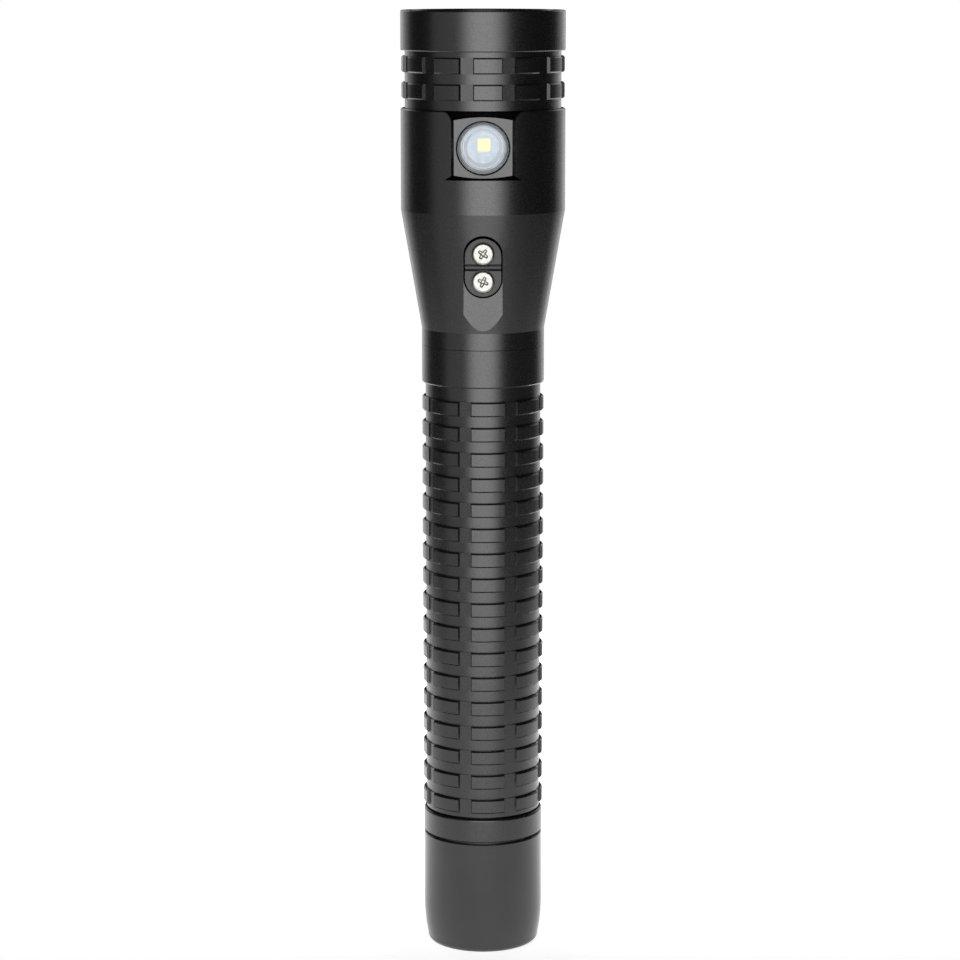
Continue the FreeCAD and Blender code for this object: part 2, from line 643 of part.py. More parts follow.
# ---- cooling collar and bezel ----
def cooling_collar():
    """Collar with two rings of pads between the head and the bezel."""
    bevel = FIN_BEVEL
    outline = [(HEAD_SPIGOT_R + SLIP, HEAD_TOP + FACE_GAP), (FIN_CORE_R, HEAD_TOP + FACE_GAP)]
    outline += ridge(FIN_CORE_R, FIN_R, bevel, FIN_ROW_1, FIN_ROW_HEIGHT)
    outline += ridge(FIN_CORE_R, FIN_R, bevel, FIN_ROW_2, FIN_ROW_HEIGHT)
    inner_step = HEAD_TOP + HEAD_SPIGOT_HEIGHT + FACE_GAP
    outline += [
        (FIN_CORE_R, BEZEL_BOTTOM - FACE_GAP), (BEZEL_SPIGOT_R, BEZEL_BOTTOM - FACE_GAP),
        (BEZEL_SPIGOT_R, RIM_BOTTOM - FACE_GAP), (COLLAR_BORE_R, RIM_BOTTOM - FACE_GAP),
        (COLLAR_BORE_R, inner_step), (HEAD_SPIGOT_R + SLIP, inner_step),
    ]
    body = turned(outline)
    return cut_gaps(body, FIN_PADS, FIN_GAP, FIN_GAP_FLOOR, FIN_R, FIN_WALL_LEAN, FIN_TURN,
                    FIN_ROW_1 - 0.8, FIN_ROW_2 + FIN_ROW_HEIGHT + 0.8)


def bezel_ring():
    bore = BEZEL_SPIGOT_R + SLIP
    lip = TOP - BEZEL_LIP
    edge = 0.2
    return turned([
        (bore, BEZEL_BOTTOM), (HEAD_R - edge, BEZEL_BOTTOM), (HEAD_R, BEZEL_BOTTOM + edge),
        (HEAD_R, TOP - BEZEL_OUTER_EDGE), (HEAD_R - BEZEL_OUTER_EDGE, TOP),
        (BEZEL_OPENING_R + BEZEL_INNER_EDGE, TOP), (BEZEL_OPENING_R, TOP - BEZEL_INNER_EDGE),
        (BEZEL_OPENING_R, lip), (bore, lip),
    ])


def lens_gasket():
    return tube(LENS_R, BEZEL_OPENING_R + 0.1, LENS_TOP + 0.02, LENS_TOP + GASKET_THICK - 0.02)


def front_lens():
    return disc(LENS_R, LENS_BOTTOM + 0.02, LENS_TOP)


def main_reflector():
    """Parabolic bowl with its focus at the main LED."""
    depth = LENS_BOTTOM - LED_GLOW
    focus = (math.hypot(depth, REFLECTOR_R) - depth) / 2
    apex = LED_GLOW - focus
    low = LED_BASE + 0.5
    steps = 14
    inner = []
    outer = []
    for step in range(steps + 1):
        height = low + (LENS_BOTTOM - low) * step / steps
        radius = 2 * math.sqrt(focus * (height - apex))
        inner.append((radius, height))
        if height < RIM_BOTTOM:
            outer.append((radius + REFLECTOR_WALL, height))
    rim_r = LENS_R
    last_r = 2 * math.sqrt(focus * (RIM_BOTTOM - apex)) + REFLECTOR_WALL
    outline = outer + [(last_r, RIM_BOTTOM), (rim_r, RIM_BOTTOM), (rim_r, LENS_BOTTOM)]
    return turned(outline + list(reversed(inner)))


def led_centring_ring():
    """White spacer that sits over the LED and under the reflector."""
    return tube(CENTRING_RING_R, CENTRING_RING_BORE, LED_BASE + 0.02, LED_BASE + 0.45)


def main_led():
    """Square LED package with its clear dome."""
    half = MAIN_LED_HALF
    package = block(half, -half, half, LED_BASE, LED_BASE + MAIN_LED_THICK)
    ball = Part.makeSphere(MAIN_DOME_R, Vector(0, 0, LED_BASE + MAIN_LED_THICK))
    above = disc(MAIN_DOME_R + 1, LED_BASE + MAIN_LED_THICK / 2, LED_BASE + 5)
    return package.fuse(ball.common(above)).removeSplitter()


def main_led_board():
    return disc(MAIN_BOARD_R, HEAT_SINK_SEAT, LED_BASE)


def heat_sink():
    """Aluminium slug that carries both LED boards, with a well for the side light."""
    slug = disc(HEAT_SINK_R, HEAT_SINK_FLOOR + FACE_GAP, HEAT_SINK_SEAT)
    half = FLOOD_BORE_R + 0.4
    well = block(half, -HEAT_SINK_R - 1, -flood_board_back(), FLOOD_Z - half, FLOOD_Z + half)
    slug = slug.cut(well)
    hole_z = HEAT_SINK_FLOOR - 5
    for x in (-MAIN_LEAD_X, MAIN_LEAD_X):
        start = Vector(x, MAIN_LEAD_Y, hole_z)
        slug = slug.cut(Part.makeCylinder(WIRE_R + WIRE_HOLE, 2 * HEAT_SINK_LENGTH, start))
    for x in (-FLOOD_LEAD_X, FLOOD_LEAD_X):
        depth = FLOOD_Z - half + 1 - hole_z
        hole = Part.makeCylinder(WIRE_R + WIRE_HOLE, depth, Vector(x, flood_wire_y(), hole_z))
        slug = slug.cut(hole)
    return slug


# ---- side light ----
def flood_lens_front():
    return FLOOD_FACE + FLOOD_LENS_PROUD


def flood_seat_front():
    return flood_lens_front() - FLOOD_LENS_THICK - 0.02


def flood_cup_front():
    return flood_seat_front() - FLOOD_SEAT_THICK - 0.02


def flood_board_front():
    return flood_cup_front() - FLOOD_CUP_DEPTH - 0.02


def flood_board_back():
    return flood_board_front() - FLOOD_BOARD_THICK


def flood_wire_y():
    return -(flood_board_front() + flood_board_back()) / 2


def flood_lens():
    front = flood_lens_front()
    back = front - FLOOD_LENS_THICK
    bevel = FLOOD_LENS_BEVEL
    return turned_y([
        (0, -front), (FLOOD_LENS_R - bevel, -front), (FLOOD_LENS_R, -front + bevel * 0.5),
        (FLOOD_LENS_R, -back), (0, -back),
    ], FLOOD_Z)


def flood_o_ring():
    radius = (FLOOD_LENS_R + FLOOD_BORE_R) / 2
    centre = Vector(0, -FLOOD_FACE + FLOOD_SEAL_R, FLOOD_Z)
    return Part.makeTorus(radius, FLOOD_SEAL_R, centre, Vector(0, 1, 0))


def flood_seat():
    """Grey seat ring between the lens and the bowl."""
    front = flood_seat_front()
    back = front - FLOOD_SEAT_THICK
    outer = FLOOD_BORE_R - FLOOD_CUP_PLAY
    return turned_y([
        (FLOOD_CUP_MOUTH_R, -front), (outer, -front), (outer, -back), (FLOOD_CUP_MOUTH_R, -back),
    ], FLOOD_Z)


def flood_reflector():
    front = flood_cup_front()
    back = flood_board_front() + 0.02
    outer = FLOOD_BORE_R - FLOOD_CUP_PLAY
    return turned_y([
        (FLOOD_CUP_MOUTH_R, -front), (outer, -front), (outer, -back), (FLOOD_CUP_FLOOR_R, -back),
        (FLOOD_CUP_WALL_R, -back - FLOOD_CUP_STEP),
    ], FLOOD_Z)


def flood_led_board():
    half = FLOOD_BOARD_HALF
    near = -flood_board_front()
    return block(half, near, near + FLOOD_BOARD_THICK - FACE_GAP, FLOOD_Z - half, FLOOD_Z + half)


def flood_led():
    half = FLOOD_LED_HALF
    far = -flood_board_front() - 0.01
    middle = FLOOD_Z + FLOOD_LED_RISE
    led = block(half, far - FLOOD_LED_THICK, far, middle - half, middle + half)
    led.translate(Vector(FLOOD_LED_ASIDE, 0, 0))
    return led


# ---- charging contacts ----
def contact_block():
    """Insulating block with a shallow round valley across its middle."""
    face = SLOT_FLOOR + CONTACT_BLOCK_PROUD
    back = SLOT_FLOOR - CONTACT_BLOCK_DEPTH
    body = stadium(CONTACT_BLOCK_HALF, CONTACT_BLOCK_LENGTH, -face, -back, CONTACT_Z)
    half = CONTACT_VALLEY_HALF
    valley_r = (half ** 2 + CONTACT_VALLEY_DEPTH ** 2) / (2 * CONTACT_VALLEY_DEPTH)
    start = Vector(-HEAD_R, -face - valley_r + CONTACT_VALLEY_DEPTH, CONTACT_Z)
    valley = Part.makeCylinder(valley_r, 2 * HEAD_R, start, Vector(1, 0, 0))
    body = body.cut(valley)
    seat = face - CONTACT_SCREW_SEAT
    for height in contact_heights():
        body = body.cut(cylinder_y(CONTACT_SCREW_HEAD_R + 2 * SLIP, -face - 1, -seat, height))
        body = body.cut(cylinder_y(CONTACT_SCREW_R + FACE_GAP, -face - 1, -seat + 1.4, height))
        body = body.cut(cylinder_y(INSERT_R + FACE_GAP, -seat + 1.2, -back + 1, height))
    return body


def contact_screw(height, turn):
    """Pan-head screw with a cross recess, turned by the given angle."""
    seat = SLOT_FLOOR + CONTACT_BLOCK_PROUD - CONTACT_SCREW_SEAT
    top = seat + CONTACT_SCREW_HEAD
    r = CONTACT_SCREW_HEAD_R
    tip = -seat + CONTACT_SCREW_SHANK
    flat = Vector(r * CONTACT_SCREW_FLAT, -top, height)
    shoulder = Vector(r, -seat - CONTACT_SCREW_SHOULDER, height)
    fall = CONTACT_SCREW_HEAD - CONTACT_SCREW_SHOULDER
    bow = Vector((flat.x + r) / 2 + 0.17 * (r - flat.x), -top + 0.27 * fall, height)
    rest = [shoulder, Vector(r, -seat, height), Vector(CONTACT_SCREW_R, -seat, height),
            Vector(CONTACT_SCREW_R, tip, height), Vector(0, tip, height), Vector(0, -top, height)]
    edges = [Part.makeLine(rest[-1], flat), Part.Arc(flat, bow, shoulder).toShape()]
    edges += [Part.makeLine(a, b) for a, b in zip(rest, rest[1:])]
    screw = Part.Face(Part.Wire(edges)).revolve(Vector(0, 0, height), Vector(0, 1, 0), 360)
    return screw.cut(cross_recess(top, height, turn))


def cross_recess(top, height, turn):
    """Two crossed round-bottomed grooves and a coned middle."""
    reach = CROSS_LENGTH / 2 - CROSS_R
    axis_y = -top + CROSS_SINK
    middle = Vector(0, -top, height)
    cross = Part.makeCone(1.6 * CROSS_R, 0.6 * CROSS_R, CROSS_DEPTH, middle, Vector(0, 1, 0))
    for direction in (Vector(1, 0, 0), Vector(0, 0, 1)):
        start = Vector(0, axis_y, height).sub(direction * reach)
        end = Vector(0, axis_y, height).add(direction * reach)
        cross = cross.fuse(Part.makeCylinder(CROSS_R, 2 * reach, start, direction))
        for tip in (start, end):
            cross = cross.fuse(Part.makeSphere(CROSS_R, tip))
    cross.rotate(middle, Vector(0, 1, 0), turn)
    return cross


def contact_screws():
    pairs = zip(contact_heights(), CONTACT_SCREW_TURNS)
    return group([contact_screw(height, turn) for height, turn in pairs])


def contact_inserts():
    """Threaded brass inserts with a solder pin each."""
    seat = SLOT_FLOOR + CONTACT_BLOCK_PROUD - CONTACT_SCREW_SEAT
    back = SLOT_FLOOR - CONTACT_BLOCK_DEPTH
    inserts = []
    for height in contact_heights():
        barrel = cylinder_y(INSERT_R, -seat + 1.45, -back - 0.02, height)
        hole_end = -seat + CONTACT_SCREW_SHANK + SLIP
        barrel = barrel.cut(cylinder_y(CONTACT_SCREW_R + 0.02, -seat, hole_end, height))
        pin = cylinder_y(INSERT_PIN_R, -back - LOOSE, -HEAD_BORE_R + 1.0, height)
        inserts.append(barrel.fuse(pin))
    return group(inserts)


# ---- switches ----
def switch_plate():
    """Frame that holds the two keys in the recess."""
    top = SLOT_FLOOR + SWITCH_PLATE_THICK
    body = stadium(SWITCH_PLATE_HALF, SWITCH_PLATE_LENGTH, SLOT_FLOOR + 0.01, top, SWITCH_Z)
    rim = [edge for edge in body.Edges if edge.BoundBox.YMin > top - 0.01]
    body = body.makeChamfer(0.3, rim)
    web = top - SWITCH_PLATE_WEB
    for height in key_heights():
        body = body.cut(cylinder_y(KEY_R + SLIP, SLOT_FLOOR - 1, top + 1, height))
        body = body.cut(cylinder_y(KEY_R + KEY_FLANGE + SLIP, SLOT_FLOOR - 1, web, height))
    for height in switch_screw_heights():
        body = body.cut(cylinder_y(SWITCH_SCREW_R + SLIP, SLOT_FLOOR - 1, top + 1, height))
        body = body.cut(screw_head_cone(top, height, 0.06, 1.0))
    return body


def screw_head_cone(top, height, grow, above):
    """Countersunk head, or the seat that it lies in."""
    wide = SWITCH_SCREW_HEAD_R + grow
    narrow = SWITCH_SCREW_R + grow
    cone = turned_y([(0, top), (wide, top), (narrow, top - (wide - narrow)),
                     (0, top - (wide - narrow))], height)
    if above > 0:
        cone = cone.fuse(cylinder_y(wide, top, top + above, height))
    return cone


def switch_screws():
    """Two countersunk cross-head screws."""
    top = SLOT_FLOOR + SWITCH_PLATE_THICK - 0.06
    screws = []
    for height in switch_screw_heights():
        screw = screw_head_cone(top, height, 0.0, 0.0)
        screw = screw.fuse(cylinder_y(SWITCH_SCREW_R, top - SWITCH_SCREW_LENGTH, top - 0.1, height))
        slot = stadium(0.2, 1.8, top - 0.5, top + 1, height)
        across = slot.copy()
        across.rotate(Vector(0, 0, height), Vector(0, 1, 0), 90)
        screws.append(screw.cut(slot.fuse(across)))
    return group(screws)


def key_cap(height):
    """Round key with a flange that the plate holds in."""
    top = SLOT_FLOOR + SWITCH_PLATE_THICK
    web = top - SWITCH_PLATE_WEB
    crown = top + KEY_PROUD
    flange_top = web - 0.03
    flange_bottom = flange_top - KEY_FLANGE_THICK
    outer = KEY_R + KEY_FLANGE
    return turned_y([
        (0, flange_bottom), (outer, flange_bottom), (outer, flange_top), (KEY_R, flange_top),
        (KEY_R, crown - KEY_EDGE), (KEY_R - KEY_EDGE, crown), (0, crown),
    ], height)


def spot_button():
    """Key of the front light, marked with a raised dot and ring."""
    height = key_heights()[1]
    crown = SLOT_FLOOR + SWITCH_PLATE_THICK + KEY_PROUD
    key = key_cap(height)
    key = key.fuse(cylinder_y(0.8, crown - 0.2, crown + KEY_MARK, height))
    ring = cylinder_y(2.3, crown - 0.2, crown + KEY_MARK, height)
    ring = ring.cut(cylinder_y(1.8, crown - 1, crown + 1, height))
    return key.fuse(ring)


def flood_button():
    """Key of the side light, marked with three raised bars."""
    height = key_heights()[0]
    crown = SLOT_FLOOR + SWITCH_PLATE_THICK + KEY_PROUD
    key = key_cap(height)
    for step, half in ((-1.3, 1.4), (0.0, 2.0), (1.3, 1.4)):
        key = key.fuse(block(half, crown - 0.2, crown + KEY_MARK, height + step - 0.3, height + step + 0.3))
    return key


def switch_membrane():
    """Silicone sheet that seals the switch well, on its ledge."""
    top = SLOT_FLOOR - MEMBRANE_DROP
    half = SWITCH_WELL_HALF - SLIP
    return stadium(half, SWITCH_WELL_LENGTH - 2 * SLIP, top - MEMBRANE_THICK + 0.01, top, SWITCH_Z)


def switch_board():
    floor = SLOT_FLOOR - SWITCH_WELL_DEPTH
    top = floor + SWITCH_BOARD_THICK
    return stadium(SWITCH_BOARD_HALF, SWITCH_BOARD_LENGTH, floor + 0.01, top, SWITCH_Z)


def tact_switches():
    base = SLOT_FLOOR - SWITCH_WELL_DEPTH + SWITCH_BOARD_THICK + 0.01
    lid = SLOT_FLOOR - MEMBRANE_DROP - MEMBRANE_THICK - 0.1
    switches = []
    for height in key_heights():
        body = block(TACT_HALF, base, base + TACT_THICK, height - TACT_HALF, height + TACT_HALF)
        switches.append(body.fuse(cylinder_y(1.2, base + TACT_THICK - 0.1, lid, height)))
    return group(switches)


# ---- electronics and battery ----
def driver_board():
    board = disc(DRIVER_R, DRIVER_Z, DRIVER_Z + DRIVER_THICK)
    for side in (-1, 1):
        notch = Part.makeBox(4, 2.4, 6, Vector(-2, side * DRIVER_R - 1.2, DRIVER_Z - 2))
        board = board.cut(notch)
    return board


def driver_parts():
    """Coil and chips on the driver board."""
    top = DRIVER_Z + DRIVER_THICK + 0.01
    coil = tube(COIL_R, COIL_BORE_R, top, top + COIL_HEIGHT)
    coil.translate(Vector(*COIL_PLACE, 0))
    chip = Part.makeBox(*CHIP_SIZE, Vector(*CHIP_PLACE, top))
    regulator = Part.makeBox(*REGULATOR_SIZE, Vector(*REGULATOR_PLACE, top))
    return group([coil, chip, regulator])


def main_led_leads():
    start = DRIVER_Z + DRIVER_THICK + 0.02
    runs = []
    for x in (-MAIN_LEAD_X, MAIN_LEAD_X):
        ends = [(x, MAIN_LEAD_Y, start), (x, MAIN_LEAD_Y, HEAT_SINK_SEAT - 0.02)]
        runs.append(wire(ends, WIRE_R))
    return group(runs)


def flood_led_leads():
    start = DRIVER_Z + DRIVER_THICK + 0.02
    bend = MID_BORE_BOTTOM + 1.5
    end = FLOOD_Z - FLOOD_BOARD_HALF - FACE_GAP
    runs = []
    outer_y = flood_wire_y()
    for x in (-FLOOD_LEAD_X, FLOOD_LEAD_X):
        corners = [(x, -FLOOD_LEAD_Y, start), (x, -FLOOD_LEAD_Y, bend), (x, outer_y, bend + 3.0)]
        runs.append(wire(corners + [(x, outer_y, end)], WIRE_R))
    return group(runs)


def front_contact_carrier():
    body = disc(SPIGOT_BORE_R - SLIP, CARRIER_BOTTOM, SPIGOT_STEP - FACE_GAP)
    return body.cut(disc(CONTACT_PIN_R + FACE_GAP, CARRIER_BOTTOM - 1, SPIGOT_STEP + 1))


def front_contact_retainer():
    top = CARRIER_BOTTOM - 0.02
    return tube(SPIGOT_BORE_R - SLIP, RETAINER_BORE_R, RETAINER_BOTTOM, top)


def front_contact():
    """Brass pin that the battery's front terminal presses on."""
    low = BATTERY_TOP + FACE_GAP
    flange_top = CARRIER_BOTTOM - 0.02
    tip = SPIGOT_STEP + 1.6
    flange_bottom = flange_top - PIN_FLANGE_THICK
    return turned([
        (0, low), (CONTACT_PIN_R - 0.3, low), (CONTACT_PIN_R, low + 0.3),
        (CONTACT_PIN_R, flange_bottom), (PIN_FLANGE_R, flange_bottom), (PIN_FLANGE_R, flange_top),
        (CONTACT_PIN_R, flange_top), (CONTACT_PIN_R, tip), (0, tip),
    ])


def battery_cell(bottom):
    edge = 0.4
    top = bottom + CELL_LENGTH - FACE_GAP
    return turned([
        (0, bottom), (CELL_R - edge, bottom), (CELL_R, bottom + edge), (CELL_R, top - edge),
        (CELL_R - edge, top), (0, top),
    ])


def rear_cell():
    return battery_cell(CELLS_BOTTOM)


def front_cell():
    return battery_cell(CELLS_BOTTOM + CELL_LENGTH)


def battery_sleeve():
    inner = CELL_R + FACE_GAP
    return tube(inner + SLEEVE_WALL, inner, CELLS_BOTTOM, CELLS_TOP)


def battery_terminal():
    """Front terminal of the battery, with its insulating washer's outline."""
    step = CELLS_TOP + TERMINAL_THICK
    return turned([(0, CELLS_TOP), (TERMINAL_R, CELLS_TOP), (TERMINAL_R, step), (NUB_R, step),
                   (NUB_R, BATTERY_TOP), (0, BATTERY_TOP)])


def battery_rear_cap():
    return disc(CELL_R + SLEEVE_WALL + FACE_GAP, BATTERY_BOTTOM, CELLS_BOTTOM - 0.01)


PARTS = {
    "tail_boot": tail_boot,
    "tail_core": tail_core,
    "tail_ring": tail_ring,
    "tail_contact_plate": tail_contact_plate,
    "tail_spring": tail_spring,
    "tail_o_ring": tail_o_ring,
    "handle_tube": handle_tube,
    "head_o_ring": head_o_ring,
    "head_body": head_body,
    "cooling_collar": cooling_collar,
    "bezel_ring": bezel_ring,
    "lens_gasket": lens_gasket,
    "front_lens": front_lens,
    "main_reflector": main_reflector,
    "led_centring_ring": led_centring_ring,
    "main_led": main_led,
    "main_led_board": main_led_board,
    "heat_sink": heat_sink,
    "flood_lens": flood_lens,
    "flood_o_ring": flood_o_ring,
    "flood_seat": flood_seat,
    "flood_reflector": flood_reflector,
    "flood_led_board": flood_led_board,
    "flood_led": flood_led,
    "contact_block": contact_block,
    "contact_screws": contact_screws,
    "contact_inserts": contact_inserts,
    "switch_plate": switch_plate,
    "switch_screws": switch_screws,
    "spot_button": spot_button,
    "flood_button": flood_button,
    "switch_membrane": switch_membrane,
    "switch_board": switch_board,
    "tact_switches": tact_switches,
    "driver_board": driver_board,
    "driver_parts": driver_parts,
    "main_led_leads": main_led_leads,
    "flood_led_leads": flood_led_leads,
    "front_contact_carrier": front_contact_carrier,
    "front_contact_retainer": front_contact_retainer,
    "front_contact": front_contact,
    "rear_cell": rear_cell,
    "front_cell": front_cell,
    "battery_sleeve": battery_sleeve,
    "battery_terminal": battery_terminal,
    "battery_rear_cap": battery_rear_cap,
}

os.makedirs("parts", exist_ok=True)
for node, make in PARTS.items():
    shape = make()
    if not shape.isValid():
        print("not valid:", node)
    shape.exportStep("parts/" + node + ".step")
    print(node, len(shape.Solids), round(shape.Volume, 1))
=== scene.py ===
"""Looks of the dual-light duty flashlight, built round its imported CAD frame. Metres."""

import json
import math

import bpy
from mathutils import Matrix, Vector


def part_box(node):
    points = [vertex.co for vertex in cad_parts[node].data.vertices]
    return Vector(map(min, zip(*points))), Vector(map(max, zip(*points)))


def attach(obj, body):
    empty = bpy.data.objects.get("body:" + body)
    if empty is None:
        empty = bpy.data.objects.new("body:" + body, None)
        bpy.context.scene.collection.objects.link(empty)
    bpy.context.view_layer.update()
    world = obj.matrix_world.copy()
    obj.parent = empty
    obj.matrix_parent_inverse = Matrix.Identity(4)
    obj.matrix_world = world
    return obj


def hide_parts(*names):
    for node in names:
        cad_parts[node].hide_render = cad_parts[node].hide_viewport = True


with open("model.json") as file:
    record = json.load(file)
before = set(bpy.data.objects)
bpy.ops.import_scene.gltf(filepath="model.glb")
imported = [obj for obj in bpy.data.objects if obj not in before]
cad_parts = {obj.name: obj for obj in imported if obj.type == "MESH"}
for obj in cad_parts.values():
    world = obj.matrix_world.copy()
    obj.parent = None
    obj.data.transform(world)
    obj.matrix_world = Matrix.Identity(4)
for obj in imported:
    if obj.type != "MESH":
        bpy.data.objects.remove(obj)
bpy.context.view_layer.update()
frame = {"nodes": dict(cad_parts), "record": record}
nodes = frame["nodes"]
MM = 0.001

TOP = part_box("bezel_ring")[1].z
SMOOTH_BELOW = math.radians(35)


# ---- materials ----
def new_material(name, color, roughness, metallic=0.0):
    """A Principled material with its fixed values set on the shader's own sockets."""
    material = bpy.data.materials.new(name)
    material.use_nodes = True
    shader = material.node_tree.nodes["Principled BSDF"]
    shader.inputs["Base Color"].default_value = (*color, 1.0)
    shader.inputs["Roughness"].default_value = roughness
    shader.inputs["Metallic"].default_value = metallic
    return material, shader


def noise(material, scale, detail=3.0, stretch=(1.0, 1.0, 1.0)):
    """A noise pattern on Object coordinates."""
    tree = material.node_tree
    coords = tree.nodes.new("ShaderNodeTexCoord")
    mapping = tree.nodes.new("ShaderNodeMapping")
    mapping.inputs["Scale"].default_value = stretch
    texture = tree.nodes.new("ShaderNodeTexNoise")
    texture.inputs["Scale"].default_value = scale
    texture.inputs["Detail"].default_value = detail
    tree.links.new(coords.outputs["Object"], mapping.inputs["Vector"])
    tree.links.new(mapping.outputs["Vector"], texture.inputs["Vector"])
    return texture


def spread(material, texture, low, high):
    """Turn a pattern's middle range into values from low to high."""
    ranged = material.node_tree.nodes.new("ShaderNodeMapRange")
    ranged.inputs["From Min"].default_value = 0.3
    ranged.inputs["From Max"].default_value = 0.7
    ranged.inputs["To Min"].default_value = low
    ranged.inputs["To Max"].default_value = high
    material.node_tree.links.new(texture.outputs["Fac"], ranged.inputs["Value"])
    return ranged.outputs["Result"]


def grain(material, shader, texture, strength, depth):
    """Raise the surface by a pattern."""
    bump = material.node_tree.nodes.new("ShaderNodeBump")
    bump.inputs["Strength"].default_value = strength
    bump.inputs["Distance"].default_value = depth
    material.node_tree.links.new(texture.outputs["Fac"], bump.inputs["Height"])
    material.node_tree.links.new(bump.outputs["Normal"], shader.inputs["Normal"])


def two_tone(material, shader, texture, dark, light):
    """Vary the base colour between two tones by a pattern."""
    ramp = material.node_tree.nodes.new("ShaderNodeValToRGB")
    ramp.color_ramp.elements[0].position = 0.35
    ramp.color_ramp.elements[0].color = (*dark, 1.0)
    ramp.color_ramp.elements[1].position = 0.65
    ramp.color_ramp.elements[1].color = (*light, 1.0)
    material.node_tree.links.new(texture.outputs["Fac"], ramp.inputs["Fac"])
    material.node_tree.links.new(ramp.outputs["Color"], shader.inputs["Base Color"])


def black_anodised():
    """Bead-blasted aluminium, hard anodised black: fine grain, satin gloss."""
    material, shader = new_material("black_anodised", (0.0035, 0.0034, 0.0036), 0.3)
    shader.inputs["IOR"].default_value = 1.76
    material.node_tree.links.new(
        spread(material, noise(material, 2600.0), 0.25, 0.35), shader.inputs["Roughness"])
    two_tone(material, shader, noise(material, 1600.0), (0.0025, 0.0025, 0.0027), (0.0045, 0.0043, 0.0045))
    grain(material, shader, noise(material, 3600.0, 3.0), 0.3, 0.000012)
    return material


def boot_polymer():
    """Soft-touch moulded polymer of the tail boot."""
    material, shader = new_material("boot_polymer", (0.012, 0.012, 0.0125), 0.2)
    shader.inputs["IOR"].default_value = 1.68
    two_tone(material, shader, noise(material, 160.0), (0.010, 0.010, 0.0105), (0.014, 0.014, 0.0145))
    material.node_tree.links.new(
        spread(material, noise(material, 1500.0), 0.16, 0.24), shader.inputs["Roughness"])
    grain(material, shader, noise(material, 6000.0, 2.0), 0.08, 0.00001)
    return material


def clear_glass(name, tint):
    """Clear glass with a faint ripple."""
    material, shader = new_material(name, tint, 0.0)
    shader.inputs["Transmission Weight"].default_value = 1.0
    shader.inputs["IOR"].default_value = 1.46
    grain(material, shader, noise(material, 60.0), 0.02, 0.0001)
    return material


def mirror_coat():
    """Vacuum-metallised bowl with a very light orange peel."""
    material, shader = new_material("mirror_coat", (0.9, 0.9, 0.92), 0.06, 1.0)
    grain(material, shader, noise(material, 700.0), 0.05, 0.00005)
    return material


def white_cup():
    """Cool white moulding of the side light's bowl."""
    material, shader = new_material("white_cup", (0.85, 0.89, 0.94), 0.3)
    two_tone(material, shader, noise(material, 500.0), (0.82, 0.86, 0.92), (0.88, 0.92, 0.96))
    return material


def phosphor():
    """Yellow phosphor under silicone, with a faint painted glow."""
    material, shader = new_material("phosphor", (0.95, 0.88, 0.35), 0.4)
    # painted glow: a faint emission on the phosphor, not light from a switched-on LED
    shader.inputs["Emission Color"].default_value = (1.0, 0.95, 0.6, 1.0)
    shader.inputs["Emission Strength"].default_value = 0.35
    two_tone(material, shader, noise(material, 3000.0), (0.93, 0.84, 0.3), (0.98, 0.93, 0.42))
    return material


def plain(name, color, roughness, metallic, size, strength, ior=1.5):
    """A material whose tone, gloss and surface vary a little with a fine pattern."""
    material, shader = new_material(name, color, roughness, metallic)
    shader.inputs["IOR"].default_value = ior
    dark = tuple(c * 0.88 for c in color)
    light = tuple(min(c * 1.1, 1.0) for c in color)
    two_tone(material, shader, noise(material, size), dark, light)
    material.node_tree.links.new(
        spread(material, noise(material, size * 2.3), roughness * 0.8, roughness * 1.2),
        shader.inputs["Roughness"])
    grain(material, shader, noise(material, size * 4.0, 2.0), strength, 0.00003)
    return material


FINISH = {
    "anodised_aluminium": black_anodised(),
    "boot_polymer": boot_polymer(),
    "lens_glass": clear_glass("lens_glass", (0.97, 0.99, 1.0)),
    "flood_glass": clear_glass("flood_glass", (0.95, 0.98, 1.0)),
    "mirror_coat": mirror_coat(),
    "white_cup": white_cup(),
    "phosphor": phosphor(),
    "circuit_board": plain("circuit_board", (0.01, 0.12, 0.05), 0.35, 0.0, 900.0, 0.1),
    "metal_core_board": plain("metal_core_board", (0.74, 0.8, 0.89), 0.4, 0.0, 900.0, 0.1),
    "black_nylon": plain("black_nylon", (0.018, 0.018, 0.0185), 0.34, 0.0, 1500.0, 0.15),
    "grey_nylon": plain("grey_nylon", (0.24, 0.24, 0.25), 0.45, 0.0, 1500.0, 0.1),
    "nickel": plain("nickel", (0.42, 0.41, 0.385), 0.36, 1.0, 1800.0, 0.08),
    "brass": plain("brass", (0.72, 0.52, 0.22), 0.3, 1.0, 1200.0, 0.1),
    "bare_aluminium": plain("bare_aluminium", (0.72, 0.72, 0.74), 0.35, 1.0, 1200.0, 0.15),
    "silicone": plain("silicone", (0.02, 0.02, 0.021), 0.6, 0.0, 2500.0, 0.3),
    "seal_rubber": plain("seal_rubber", (0.004, 0.004, 0.004), 0.7, 0.0, 1500.0, 0.2, 1.25),
    "spring_steel": plain("spring_steel", (0.65, 0.64, 0.6), 0.3, 1.0, 1800.0, 0.1),
    "cell_wrap": plain("cell_wrap", (0.03, 0.12, 0.35), 0.3, 0.0, 700.0, 0.05),
    "sleeve_film": plain("sleeve_film", (0.02, 0.02, 0.022), 0.35, 0.0, 700.0, 0.05),
    "wire_jacket": plain("wire_jacket", (0.4, 0.03, 0.02), 0.5, 0.0, 1500.0, 0.1),
}


def finish_cad_nodes():
    """Give every CAD node the finish of its material slot."""
    for part in frame["record"]["subparts"]:
        node = nodes[part["node"]]
        node.data.materials.clear()
        node.data.materials.append(FINISH[part["material_slot"]])


# ---- detail pieces ----
def start_piece(name):
    """Name the primitive just added and open it for shaping."""
    piece = bpy.context.object
    piece.name = name
    piece.data.name = name
    return piece


